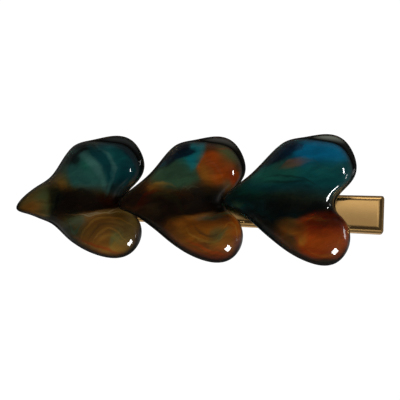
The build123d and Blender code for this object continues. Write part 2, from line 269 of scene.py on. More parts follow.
# Drawn-out strokes of colour over the pools, in the same shares. A row gives the colour, the
# start and the end of the chord along and across, the bow over it, the width, the soft share of
# the edge, and the weight.
heart_strokes = {
    "heart_left": (
        ("mist", 0.667, 0.367, 0.725, 0.034, 0.075, 0.018, 0.6, 0.5),
        ("deep_teal", 0.574, 0.375, 0.739, 0.137, 0.013, 0.029, 0.4, 0.95),
        ("mist", 0.493, 0.323, 0.695, 0.084, 0.042, 0.029, 0.7, 0.55),
        ("black", 0.434, 0.257, 0.602, 0.347, 0.024, 0.017, 0.6, 0.95),
        ("navy", 0.782, 0.403, 0.965, 0.152, 0.052, 0.027, 0.6, 0.9),
        ("sage", 0.315, 0.075, 0.235, -0.150, 0.038, 0.014, 0.6, 0.8),
        ("smoke", 0.333, 0.040, 0.275, -0.155, 0.021, 0.011, 0.7, 0.9),
        ("honey", 0.067, -0.094, 0.238, -0.143, -0.009, 0.012, 0.6, 0.8),
        ("black", 0.457, 0.014, 0.580, 0.026, 0.014, 0.013, 0.7, 0.8),
        ("umber", 0.375, -0.071, 0.755, -0.069, -0.030, 0.044, 0.6, 0.6),
        ("sage", 0.407, -0.214, 0.517, -0.217, -0.067, 0.013, 0.7, 0.9),
        ("pale", 0.395, -0.157, 0.764, -0.109, -0.035, 0.006, 0.7, 0.7),
        ("honey", 0.512, -0.309, 0.858, -0.221, 0.074, 0.009, 0.7, 0.85),
        ("umber", 0.569, -0.342, 0.853, -0.283, 0.074, 0.011, 0.7, 0.95),
        ("honey", 0.606, -0.358, 0.815, -0.333, 0.069, 0.008, 0.7, 0.85),
        ("moss", 0.723, -0.392, 0.781, -0.295, 0.013, 0.015, 0.8, 0.8),
        ("rust", 0.490, -0.331, 0.824, -0.444, -0.013, 0.010, 0.6, 0.9),
        ("honey", 0.502, -0.388, 0.794, -0.464, -0.026, 0.018, 0.6, 0.8),
    ),
    "heart_middle": (
        ("navy", 0.361, 0.235, 0.630, 0.380, 0.042, 0.042, 0.35, 1.0),
        ("lagoon", 0.554, 0.214, 0.690, 0.437, 0.009, 0.033, 0.4, 0.95),
        ("honey", 0.643, 0.310, 0.791, 0.127, -0.049, 0.033, 0.8, 0.25),
        ("pale", 0.672, 0.296, 0.784, 0.145, 0.018, 0.010, 0.9, 0.08),
        ("olive", 0.804, 0.384, 0.971, 0.250, 0.050, 0.029, 0.6, 0.9),
        ("orange", 0.868, 0.200, 0.951, 0.099, 0.019, 0.024, 0.5, 0.9),
        ("rust", 0.771, 0.377, 0.931, 0.391, -0.020, 0.008, 0.7, 0.8),
        ("honey", 0.258, 0.058, 0.401, 0.102, 0.031, 0.014, 0.7, 0.7),
        ("pale", 0.468, 0.054, 0.534, 0.054, 0.029, 0.006, 0.9, 0.12),
        ("pale", 0.527, 0.053, 0.601, 0.066, 0.012, 0.006, 0.9, 0.12),
        ("moss", 0.277, 0.020, 0.446, -0.071, 0.052, 0.029, 0.8, 0.6),
        ("rust", 0.146, -0.023, 0.295, 0.052, 0.014, 0.013, 0.7, 0.7),
        ("black", 0.675, -0.144, 0.887, -0.053, -0.003, 0.018, 0.5, 0.9),
        ("sage", 0.649, -0.165, 0.927, -0.117, 0.004, 0.009, 0.6, 0.8),
        ("honey", 0.379, -0.199, 0.565, -0.149, 0.028, 0.011, 0.8, 0.6),
        ("honey", 0.504, -0.239, 0.784, -0.322, -0.066, 0.011, 0.7, 0.9),
        ("umber", 0.563, -0.221, 0.770, -0.276, -0.048, 0.012, 0.7, 0.95),
        ("honey", 0.762, -0.272, 0.909, -0.301, 0.075, 0.010, 0.7, 0.9),
        ("moss", 0.754, -0.332, 0.818, -0.254, 0.015, 0.015, 0.8, 0.7),
        ("rust", 0.521, -0.338, 0.837, -0.440, -0.023, 0.011, 0.5, 0.95),
        ("rust", 0.532, -0.383, 0.824, -0.460, -0.029, 0.018, 0.6, 0.6),
    ),
    "heart_right": (
        ("navy", 0.328, 0.248, 0.602, 0.416, 0.029, 0.030, 0.5, 0.95),
        ("amber", 0.436, 0.243, 0.629, 0.277, 0.026, 0.015, 0.8, 0.6),
        ("violet", 0.530, 0.385, 0.578, 0.397, 0.004, 0.012, 0.7, 0.8),
        ("black", 0.316, 0.148, 0.694, 0.062, 0.050, 0.007, 0.6, 0.7),
        ("pale_teal", 0.666, 0.258, 0.804, 0.231, -0.041, 0.012, 0.8, 0.5),
        ("deep_teal", 0.634, 0.166, 0.909, 0.249, -0.082, 0.027, 0.8, 0.7),
        ("sage", 0.087, -0.037, 0.149, -0.051, -0.014, 0.017, 0.7, 0.9),
        ("umber", 0.858, 0.008, 0.851, -0.157, -0.021, 0.015, 0.6, 0.9),
        ("smoke", 0.458, -0.226, 0.582, -0.261, -0.003, 0.020, 0.9, 0.4),
        ("honey", 0.549, -0.328, 0.590, -0.287, 0.000, 0.012, 0.7, 0.95),
        ("honey", 0.671, -0.163, 0.713, -0.171, 0.004, 0.009, 0.8, 0.8),
        ("honey", 0.577, -0.200, 0.666, -0.152, 0.008, 0.007, 0.8, 0.6),
        ("rust", 0.590, -0.260, 0.782, -0.230, 0.013, 0.011, 0.7, 0.85),
        ("honey", 0.637, -0.398, 0.857, -0.316, -0.081, 0.013, 0.9, 0.40),
        ("violet", 0.840, -0.477, 0.943, -0.298, -0.036, 0.012, 0.7, 0.6),
        ("slate", 0.246, -0.164, 0.562, -0.446, -0.021, 0.007, 0.7, 0.7),
    ),
}

# Resin: how far noise curls the edges of its colours, its wisps, its body and its gloss
warp_scales = {"Broad": 4.0, "Fine": 17.0}
warp_reaches = {"Broad": 0.10, "Fine": 0.03}
warp_detail = 1.5
wisp_turn = 12.0
wisp_scale = 5.0
wisp_stretch = 3.5
wisp_detail = 2.5
wisp_wander = 0.9
wisp_range = (0.36, 0.64)
wisp_dark = (0.72, 0.74, 0.76)
wisp_light = (1.30, 1.28, 1.22)
seed_step = 11.0
resin_ior = 1.5
see_through = 0.95
shadow_tint = (0.03, 0.03, 0.025)
body_roughness = 0.38
gloss_roughness = 0.02
poured_scale = 120.0
poured_depth = 0.00002

# Painted shade: dark lines, by metres from the rim and by the share of the way to the dome's foot, and a darker
# band inside the foot
rim_band = (0.00025, 0.00110)
rim_weight = 0.90
painted_shade_colour = (0.006, 0.006, 0.005)
rim_gloss = 0.35
foot_shade = (0.88, 0.99)
foot_darkened = 0.65
foot_band = (0.008, 0.028)

# The skirt past the foot, painted grey as a reflection: each heart's grey, and the shares across between which it
# comes in
skirt_weight = 0.95
skirt_rise = (0.995, 1.075)
least_reflected_share = 0.06
skirt_gloss = 0.06
skirt_roughness = 0.10
skirt_reflections = {
    "heart_left": ((0.058, 0.064, 0.062), (0.24, 0.42)),
    "heart_middle": ((0.140, 0.135, 0.120), (0.36, 0.46)),
    "heart_right": ((0.440, 0.480, 0.390), (0.41, 0.475)),
}

# Where the gloss is dull: slopes that would mirror the floor, and spots in shade, each with its
# middle and the distances from it between which the gloss comes in
facing_blend = 0.5
steep_band = (0.22, 0.50)
steep_gloss = 0.10
shaded_side = ((0.875, -0.115, 0.0), (0.09, 0.13))
shaded_cleft = ((0.80, 0.02, 0.0), (0.13, 0.18))
shaded_spots = {
    "heart_left": (shaded_side, shaded_cleft),
    "heart_middle": (shaded_side, shaded_cleft),
    "heart_right": (shaded_side,),
}

# Plated and drawn metal: its tone and wear, its clouds and lines, and the sheet's crown in metres
gold_colour = (0.92, 0.56, 0.21)
gold_roughness = 0.22
steel_colour = (0.62, 0.60, 0.57)
steel_roughness = 0.28
deep_gain = 0.86
deep_power = 1.08
worn_clouds = (0.3, 0.7)
worn_shares = (0.9, 1.1)
cloud_scale = 180.0
cloud_detail = 3.0
line_stretch = (60.0, 4000.0, 4000.0)
line_detail = 2.0
line_depth = 0.000002
crown_radius = 0.045

# Camera: the width that it sees, what it aims at, and its leans and the clip's slope in degrees
image_width = 97.9
aim_level = (35.9, 1.8, 0.0)
lean_to_front = 9.0
lean_to_right = 2.0
clip_slope = 2.4
camera_distance = 600.0
sensor = 36.0

# Lamps about the clip: turn from +x towards +y and height over the floor in degrees, side,
# power, and whether only the hearts show them
lamp_distance = 750.0
lamps = {
    "softbox": (-36.0, 24.0, 200.0, 3.7, False),
    "window": (3.0, 5.0, 190.0, 0.8, True),
    "pane": (26.0, 34.0, 110.0, 1.0, True),
}

# Cards over the clip: degrees from straight up to the back and aside, height, width and power
card_distance = 500.0
metal_cards = {
    "front_card": (-84.0, 0.0, 150.0, 900.0, 0.22),
    "top_card": (5.0, 12.0, 300.0, 620.0, 0.18),
    "step_card": (22.0, 12.0, 200.0, 620.0, 0.17),
    "high_card": (42.0, 0.0, 200.0, 900.0, 0.10),
    "rear_card": (80.0, 0.0, 150.0, 900.0, 0.70),
}

# Floor and room: how bright they are to the camera, through the hearts and in a mirror
floor_half = 3000.0
floor_white = 1.05
floor_through = 0.33
floor_mirrored = 0.13
strip_gain = 0.45
strip_back, strip_front, strip_edge = -7.0, -14.5, 2.5
room_light = 0.03


def ramp(value):
    """0 up to 0, 1 from 1 on, and a smooth rise between."""
    value = np.clip(value, 0, 1)
    return value * value * (3 - 2 * value)


def closed_curve(knots, count):
    """Uniform cubic B-spline, closed, through every knot, at evenly spaced parameters."""
    total = len(knots)
    one = np.eye(total)
    mix = (4 * one + np.roll(one, 1, axis=1) + np.roll(one, -1, axis=1)) / 6
    hull = np.linalg.solve(mix, knots)
    place = np.arange(count) * total / count
    knot = np.floor(place).astype(int)
    part = (place - knot)[:, None]
    weights = (
        (1 - part) ** 3 / 6,
        (3 * part**3 - 6 * part**2 + 4) / 6,
        (-3 * part**3 + 3 * part**2 + 3 * part + 1) / 6,
        part**3 / 6,
    )
    return sum(w * hull[(knot + shift - 1) % total] for shift, w in enumerate(weights))


def heart_rim(heart):
    """Outline shares, stretched across, drawn in at the waist by a bell curve, with the tip
    bent aside linearly and the lower lobe's end drawn in by two smooth steps."""
    rim = closed_curve(np.array(outline_rows), rim_segments)
    waist = np.exp(-(((rim[:, ALONG] - neck_share) / neck_reach) ** 2))
    rim[:, ACROSS] *= heart["breadth"] * (1 - heart["neck"] * waist)
    rim[:, ACROSS] += heart["drop"] * np.clip(1 - rim[:, ALONG] / bend_reach, 0, 1)
    lobe_end = ramp((rim[:, ALONG] - stub_start) / stub_run) * ramp(-rim[:, ACROSS] / stub_side)
    rim[:, ALONG] -= heart["stub"] * lobe_end
    return rim


def heart_heights(along, aside, reach, rim, length_out):
    """Heights as shares of the thickness. The top is a superelliptic dome whose power changes
    round the outline, creased along the lower lobe and joined by a power sum to a low skirt.
    The back is flat and rounds up to the rim. Both taper towards the tip."""
    dome_reach = reach / (1 - rim[:, LEDGE] / length_out)
    taper = tip_taper + (1 - tip_taper) * ramp(along / taper_reach)
    past_start = along - crease_start
    middle = crease_left + (crease_right - crease_left) * ramp(past_start / crease_run)
    width = np.where(aside > middle, crease_above, crease_below)
    crease = np.exp(-(((aside - middle) / width) ** 2))
    crease = 1 - crease_depth * crease * ramp(past_start / crease_deepening)
    dome = np.sqrt(1 - np.clip(dome_reach, 0, 1) ** rim[:, POWER]) * crease
    skirt = ledge_share * np.sqrt(1 - reach**ledge_power)
    hill = (dome**merge_power + skirt**merge_power) ** (1 / merge_power)
    top = taper * (rim_share + (1 - rim_share) * hill)
    back = taper * rim_share * (1 - np.sqrt(1 - reach**back_power))
    return top, back


def heart_frame(heart):
    """Frame of one heart in metres: its origin under the tip, its x along the heart."""
    length = heart["length"]
    hinge_along = (seat_end_share - heart_middle_share) * length
    steps = (
        Matrix.Translation(Vector((heart["along"], heart["across"], 0)) * MM),
        Matrix.Rotation(math.radians(heart["turn"]), 4, "Z"),
        Matrix.Translation(Vector((hinge_along, 0, seat_gap)) * MM),
        Matrix.Rotation(math.radians(heart["pitch"]), 4, "Y"),
        Matrix.Translation(Vector((-hinge_along - heart_middle_share * length, 0, 0)) * MM),
    )
    whole = level_frame.copy()
    for step in steps:
        whole = whole @ step
    return whole


def outline_distance(points, outline):
    """Distance in plan from each point to the nearest of the straight pieces of an outline."""
    nearest = np.full(points.shape[:2], np.inf)
    for start, end in zip(outline, np.roll(outline, -1, axis=0)):
        chord = end - start
        share = np.clip((points - start) @ chord / (chord @ chord), 0, 1)
        gap = points - start - share[..., None] * chord
        nearest = np.minimum(nearest, np.linalg.norm(gap, axis=-1))
    return nearest


def heart_rings(heart):
    """Rings of points, crown to rim over the top and on to the base under the back, in
    millimetres of the heart's own frame. Each ring is the outline drawn in to a share of its
    reach, and the shares follow a sine so that rings crowd at the rim. Gives each point's
    distance from the outline in metres and its share of the way to the dome's foot too."""
    rim = heart_rim(heart)
    centre = np.array([heart_middle_share, 0.0])
    spoke = rim[:, :LEDGE] - centre
    length_out = np.linalg.norm(spoke, axis=1)
    outward = np.sin(np.arange(0, top_rings + 1) / top_rings * math.pi / 2)
    inward = np.sin(np.arange(back_rings, -1, -1) / (back_rings + 1) * math.pi / 2)
    reach = np.concatenate([outward, inward])[:, None]
    upper = (np.arange(len(reach)) <= top_rings)[:, None]
    flat = centre + spoke[None] * reach[:, :, None]
    along = flat[..., ALONG]
    top, back = heart_heights(along, flat[..., ACROSS], reach, rim, length_out)
    rise = tip_rise * np.clip(1 - along / rise_reach, 0, 1) ** 2
    height = heart_thickness * np.where(upper, top, back) + rise
    from_rim = outline_distance(flat * heart["length"] * MM, rim[:, :LEDGE] * heart["length"] * MM)
    to_foot = reach / (1 - rim[:, LEDGE] / length_out)
    return np.dstack([flat * heart["length"], height]), from_rim, to_foot


def placed(points, matrix):
    """Points in millimetres carried through a frame in metres."""
    turn = np.array(matrix.to_3x3())
    return points @ turn.T * MM + np.array(matrix.translation)


def new_object(name, data):
    """Object of this data, linked to the scene."""
    made = bpy.data.objects.new(name, data)
    bpy.context.scene.collection.objects.link(made)
    return made


def mesh_piece(name, points, faces):
    mesh = bpy.data.meshes.new(name)
    mesh.from_pydata(points, [], faces)
    return new_object(name, mesh)


def surface_piece(name, rings):
    """Mesh object of a closed surface whose first and last rings are single points."""
    around = rings.shape[1]
    body = rings[1:-1].reshape(-1, 3)
    points = np.vstack([rings[0, :1], body, rings[-1, :1]])
    count = len(rings) - 2
    ring, segment = np.meshgrid(np.arange(count - 1), np.arange(around), indexing="ij")
    after = (segment + 1) % around
    low, high = 1 + ring * around, 1 + (ring + 1) * around
    quads = np.stack([low + segment, low + after, high + after, high + segment], axis=-1)
    first = np.arange(around)
    second = (first + 1) % around
    last_ring = 1 + (count - 1) * around
    crown = np.stack([np.zeros_like(first), 1 + second, 1 + first], axis=-1)
    end = np.full_like(first, len(points) - 1)
    base = np.stack([end, last_ring + first, last_ring + second], axis=-1)
    faces = quads.reshape(-1, 4).tolist() + crown.tolist() + base.tolist()
    piece = mesh_piece(name, points.tolist(), faces)
    mesh = piece.data
    mesh.polygons.foreach_set("use_smooth", np.ones(len(mesh.polygons), bool))
    mesh.update()
    return piece


def keep_values(piece, name, values):
    """Keeps a value for each ring point as an attribute, the two poles taking their ring's."""
    shares = np.concatenate([values[0, :1], values[1:-1].ravel(), values[-1, :1]])
    attribute = piece.data.attributes.new(name, "FLOAT", "POINT")
    attribute.data.foreach_set("value", shares.astype(np.float32))


def tangent_turn(knee, radius, side):
    """Angle on the coil where a straight leg to this knee leaves it, above (1) or below (-1)."""
    distance = math.hypot(*knee)
    return math.atan2(knee[1], knee[0]) + side * math.acos(radius / distance)


def rounded_knee(before, knee, after):
    """Quadratic bend that starts and ends one knee radius from the corner."""
    before, knee, after = (np.array(p, float) for p in (before, knee, after))
    start = knee + (before - knee) / np.linalg.norm(before - knee) * knee_radius
    end = knee + (after - knee) / np.linalg.norm(after - knee) * knee_radius
    share = np.linspace(0, 1, knee_steps)[:, None]
    return (1 - share) ** 2 * start + 2 * share * (1 - share) * knee + share**2 * end


def spring_path():
    """Wire's centre line: foot, bend, leg, a helix about the pin, leg, bend, foot."""
    radius = pin_radius + coil_gap + wire_radius
    above = pin_depth - sheet - leg_gap - wire_radius
    floor = pin_depth - jaw_depth + sheet - (leg_reach - lever_bend) * lever_fall
    below = floor + (leg_gap + wire_radius) * math.hypot(1, lever_fall)
    start = tangent_turn((leg_reach, above), radius, 1)
    end = tangent_turn((leg_reach, below), radius, -1) + 2 * math.pi * (coil_turns + 1)
    turns = (end - start) / (2 * math.pi)
    steps = round(turns * steps_per_turn)
    turn = np.linspace(start, end, steps + 1)
    y = (np.linspace(0, 1, steps + 1) - 0.5) * turns * coil_spacing
    coil = np.stack([radius * np.cos(turn), y, radius * np.sin(turn)], axis=1)
    foot_end = leg_reach + foot_length
    upper_foot = (foot_end, y[0], above)
    upper_knee = (leg_reach, y[0], above)
    lower_knee = (leg_reach, y[-1], below)
    lower_foot = (foot_end, y[-1], below - foot_length * lever_fall)
    upper_bend = rounded_knee(upper_foot, upper_knee, coil[0])
    lower_bend = rounded_knee(coil[-1], lower_knee, lower_foot)
    path = np.vstack([upper_foot, upper_bend, coil, lower_bend, lower_foot])
    return path + np.array([pivot_from_jaw, 0, -pin_depth])


def wire_rings(path, radius):
    """Circles about a path, closed at each end by a point, with the first side kept across."""
    tangent = np.gradient(path, axis=0)
    tangent /= np.linalg.norm(tangent, axis=1)[:, None]
    side = np.array([0.0, 1.0, 0.0]) - tangent * tangent[:, 1:2]
    side /= np.linalg.norm(side, axis=1)[:, None]
    other = np.cross(tangent, side)
    angle = (np.arange(wire_sides) * 2 * math.pi / wire_sides)[None, :, None]
    circle = np.cos(angle) * side[:, None] + np.sin(angle) * other[:, None]
    rings = path[:, None] + radius * circle
    first = np.repeat(path[:1, None], wire_sides, axis=1)
    last = np.repeat(path[-1:, None], wire_sides, axis=1)
    return np.concatenate([first, rings, last])


def feed(tree, sockets, values):
    """Puts numbers, vectors and colours on sockets, by name or place, or joins outputs to them."""
    for key, value in dict(values).items():
        if isinstance(value, bpy.types.NodeSocket):
            tree.links.new(value, sockets[key])
        elif sockets[key].type == "RGBA":
            sockets[key].default_value = (*value, 1)
        else:
            sockets[key].default_value = value


def new_node(tree, kind, inputs=(), **settings):
    """Node of a tree with its settings, and then its inputs fed. Gives its outputs."""
    made = tree.nodes.new(kind)
    for name, value in settings.items():
        setattr(made, name, value)
    feed(tree, made.inputs, inputs)
    return made.outputs


def math_node(tree, operation, *values):
    return new_node(tree, "ShaderNodeMath", enumerate(values), operation=operation)[0]


def vector_math(tree, operation, *values):
    """Vector Math of tuples or sockets. Gives a number for a length or a distance."""
    outputs = new_node(tree, "ShaderNodeVectorMath", enumerate(values), operation=operation)
    return outputs["Value" if operation in ("LENGTH", "DISTANCE") else "Vector"]


def flattened(tree, place):
    return vector_math(tree, "MULTIPLY", place, (1.0, 1.0, 0.0))


def separate(tree, vector):
    """Outputs X, Y and Z of a vector."""
    return new_node(tree, "ShaderNodeSeparateXYZ", {0: vector})


def colour_mix(tree, factor, under, over, blend="MIX"):
    """Mix of two colours by a factor."""
    inputs = {"Factor": factor, 6: under, 7: over}
    return new_node(tree, "ShaderNodeMix", inputs, data_type="RGBA", blend_type=blend)[2]


def smooth_range(tree, value, start, end, low=0.0, high=1.0):
    """Smooth step from low at start to high at end."""
    inputs = {"Value": value, "From Min": start, "From Max": end, "To Min": low, "To Max": high}
    settings = {"interpolation_type": "SMOOTHSTEP", "clamp": True}
    return new_node(tree, "ShaderNodeMapRange", inputs, **settings)["Result"]


def noise(tree, vector, scale, detail, seed=None, wander=0.0):
    """Outputs of a noise, with its seed as a fourth axis where it has one."""
    inputs = {"Vector": vector, "Scale": scale, "Detail": detail, "Distortion": wander}
    if seed is None:
        return new_node(tree, "ShaderNodeTexNoise", inputs)
    return new_node(tree, "ShaderNodeTexNoise", inputs | {"W": seed}, noise_dimensions="4D")


def bump(tree, height, depth, **under):
    """Normal of a relief with this depth in metres for a height of 1."""
    inputs = {"Strength": 1.0, "Distance": depth, "Height": height}
    return new_node(tree, "ShaderNodeBump", inputs | under)["Normal"]


def turned_back(tree, place, turn):
    """Place turned about z the other way."""
    inputs = {"Vector": place, "Angle": math_node(tree, "MULTIPLY", turn, -1.0)}
    return new_node(tree, "ShaderNodeVectorRotate", inputs, rotation_type="Z_AXIS")[0]


def laid_over(tree, length, given):
    """A group's colour over the one under it where a length is under 1, with a soft edge."""
    inner = math_node(tree, "SUBTRACT", 1.0, given["Edge"])
    outer = math_node(tree, "ADD", 1.0, given["Edge"])
    shown = smooth_range(tree, length, inner, outer, 1.0, 0.0)
    factor = math_node(tree, "MULTIPLY", shown, given["Weight"])
    return colour_mix(tree, factor, given["Under"], given["Colour"])


def new_group(name, inputs, outputs):
    """Empty node group with the names of its sockets by kind. Gives it, the sockets that bring
    its inputs in and those that take its outputs."""
    tree = bpy.data.node_groups.new(name, "ShaderNodeTree")
    for way, sockets in (("INPUT", inputs), ("OUTPUT", outputs)):
        for kind, names in sockets.items():
            for socket_name in names:
                tree.interface.new_socket(socket_name, in_out=way, socket_type=f"NodeSocket{kind}")
    return tree, tree.nodes.new("NodeGroupInput").outputs, tree.nodes.new("NodeGroupOutput").inputs


def pool_group():
    """A soft-edged elliptical pool of one colour over another.

    The place is moved to the pool's centre, turned back by its turn and divided by its
    reaches. Where the length of that is under 1 the pool shows, with a smooth edge."""
    inputs = {
        "Color": ("Under", "Colour"),
        "Vector": ("Place", "Centre", "Reach"),
        "Float": ("Turn", "Edge", "Weight"),
    }
    tree, given, result = new_group("colour_pool", inputs, {"Color": ("Colour",)})
    moved = vector_math(tree, "SUBTRACT", given["Place"], given["Centre"])
    shares = vector_math(tree, "DIVIDE", turned_back(tree, moved, given["Turn"]), given["Reach"])
    length = vector_math(tree, "LENGTH", flattened(tree, shares))
    feed(tree, result, {"Colour": laid_over(tree, length, given)})
    return tree


def stroke_group():
    """A drawn-out stroke of one colour over another, widest in its middle.

    The place is moved to the chord's middle and turned so that the chord is its first axis.
    There the stroke's centre line is a parabola with the given bow, and the stroke shows where
    the shares of its half length and of its width make a vector shorter than 1."""
    inputs = {
        "Color": ("Under", "Colour"),
        "Vector": ("Place", "Middle"),
        "Float": ("Turn", "Half Length", "Bow", "Width", "Edge", "Weight"),
    }
    tree, given, result = new_group("colour_stroke", inputs, {"Color": ("Colour",)})
    moved = vector_math(tree, "SUBTRACT", given["Place"], given["Middle"])
    parts = separate(tree, turned_back(tree, moved, given["Turn"]))
    share = math_node(tree, "DIVIDE", parts["X"], given["Half Length"])
    squared = math_node(tree, "MULTIPLY", share, share)
    line = math_node(tree, "MULTIPLY", given["Bow"], math_node(tree, "SUBTRACT", 1.0, squared))
    off_line = math_node(tree, "SUBTRACT", parts["Y"], line)
    aside = math_node(tree, "DIVIDE", off_line, given["Width"])
    both = math_node(tree, "ADD", squared, math_node(tree, "MULTIPLY", aside, aside))
    feed(tree, result, {"Colour": laid_over(tree, math_node(tree, "SQRT", both), given)})
    return tree


def warp_group():
    """Moves places by two sizes of noise, so that pools drawn on them get curling edges."""
    inputs = {"Vector": ("Place",), "Float": ("Broad", "Fine", "Seed")}
    tree, given, result = new_group("marble_warp", inputs, {"Vector": ("Place",)})
    place = given["Place"]
    for amount, scale in warp_scales.items():
        colours = noise(tree, place, scale, warp_detail, given["Seed"])["Color"]
        centred = vector_math(tree, "SUBTRACT", colours, (0.5, 0.5, 0.5))
        scaled = {0: centred, "Scale": given[amount]}
        move = new_node(tree, "ShaderNodeVectorMath", scaled, operation="SCALE")
        place = vector_math(tree, "ADD", place, move[0])
    feed(tree, result, {"Place": place})
    return tree


def wisp_group():
    """Soft streaks that run along one direction and wander a little.

    The place is turned so that the streaks' direction is its first axis, and stretched across
    it before it goes into a noise, so that the noise's grains become long and thin."""
    inputs = {"Vector": ("Place",), "Float": ("Turn", "Scale", "Stretch", "Seed")}
    tree, given, result = new_group("marble_wisps", inputs, {"Float": ("Wisps",)})
    stretch = new_node(tree, "ShaderNodeCombineXYZ", {"X": 1.0, "Y": given["Stretch"], "Z": 1.0})
    turned = turned_back(tree, given["Place"], given["Turn"])
    long_grain = vector_math(tree, "MULTIPLY", turned, stretch[0])
    grains = noise(tree, long_grain, given["Scale"], wisp_detail, given["Seed"], wisp_wander)
    feed(tree, result, {"Wisps": smooth_range(tree, grains["Fac"], *wisp_range)})
    return tree


def poured_group():
    """Slow unevenness of a surface that was poured or polished by hand, as a normal."""
    inputs = {"Vector": ("Vector",), "Float": ("Scale", "Depth")}
    tree, given, result = new_group("hand_smoothed", inputs, {"Vector": ("Normal",)})
    slow = noise(tree, given["Vector"], given["Scale"], 0.0)
    feed(tree, result, {"Normal": bump(tree, slow["Fac"], given["Depth"])})
    return tree


def rolled_group():
    """Slow clouds, and fine lines along x as a normal, for rolled and plated metal."""
    inputs = {"Vector": ("Vector",), "Float": ("Line Depth",)}
    outputs = {"Float": ("Clouds",), "Vector": ("Normal",)}
    tree, given, result = new_group("rolled_metal", inputs, outputs)
    clouds = noise(tree, given["Vector"], cloud_scale, cloud_detail)
    stretched = vector_math(tree, "MULTIPLY", given["Vector"], line_stretch)
    lines = noise(tree, stretched, 1.0, line_detail)
    normal = bump(tree, lines["Fac"], given["Line Depth"])
    feed(tree, result, {"Clouds": clouds["Fac"], "Normal": normal})
    return tree


def place_group(tree, group, **inputs):
    """Instance of a group. Underscores in the names stand for spaces. Gives its outputs."""
    named = {name.replace("_", " "): value for name, value in inputs.items()}
    return new_node(tree, "ShaderNodeGroup", named, node_tree=group, label=group.name)


def new_material(name):
    """Material with a Principled shader. Gives the material, its tree and the shader."""
    material = bpy.data.materials.new(name)
    material.use_nodes = True
    tree = material.node_tree
    return material, tree, tree.nodes["Principled BSDF"]


def marbling(tree, shares, name, groups, seed):
    """A heart's ground colour with its pools, its strokes and then darker and lighter wisps."""
    warp = place_group(tree, groups["warp"], Place=shares, Seed=seed, **warp_reaches)
    place = warp["Place"]
    colour = glass_colours[heart_grounds[name]]
    for dye, along, across, reach_along, reach_across, turn, edge, weight in heart_pools[name]:
        pool = place_group(
            tree,
            groups["pool"],
            Under=colour,
            Colour=glass_colours[dye],
            Place=place,
            Centre=(along, across, 0),
            Reach=(reach_along, reach_across, 1),
            Turn=math.radians(turn),
            Edge=edge,
            Weight=weight,
        )
        colour = pool["Colour"]
    for dye, along, across, end_along, end_across, bow, width, edge, weight in heart_strokes[name]:
        start, end = Vector((along, across, 0)), Vector((end_along, end_across, 0))
        chord = end - start
        stroke = place_group(
            tree,
            groups["stroke"],
            Under=colour,
            Colour=glass_colours[dye],
            Place=place,
            Middle=(start + end) / 2,
            Turn=math.atan2(chord.y, chord.x),
            Half_Length=chord.length / 2,
            Bow=bow,
            Width=width,
            Edge=edge,
            Weight=weight,
        )
        colour = stroke["Colour"]
    shape = {"Turn": math.radians(wisp_turn), "Scale": wisp_scale, "Stretch": wisp_stretch}
    wisps = place_group(tree, groups["wisps"], Place=place, Seed=seed, **shape)
    darker = colour_mix(tree, 1.0, colour, wisp_dark, "MULTIPLY")
    lighter = colour_mix(tree, 1.0, colour, wisp_light, "MULTIPLY")
    return colour_mix(tree, wisps["Wisps"], darker, lighter)


def gloss_mask(tree, shares, from_rim, past_foot, spots):
    """How much of the gloss is left: less at the rim, on the skirt and on steep slopes, which
    would mirror the floor, and none in the spots that lie in shade."""
    facing = new_node(tree, "ShaderNodeLayerWeight", {"Blend": facing_blend})["Facing"]
    flat = flattened(tree, shares)
    masks = [
        smooth_range(tree, past_foot, 0.0, skirt_weight, 1.0, skirt_gloss),
        smooth_range(tree, facing, *steep_band, 1.0, steep_gloss),
    ]
    for middle, band in spots:
        masks.append(smooth_range(tree, vector_math(tree, "DISTANCE", flat, middle), *band))
    gloss = smooth_range(tree, from_rim, *rim_band, rim_gloss, 1.0)
    for mask in masks:
        gloss = math_node(tree, "MULTIPLY", gloss, mask)
    return gloss


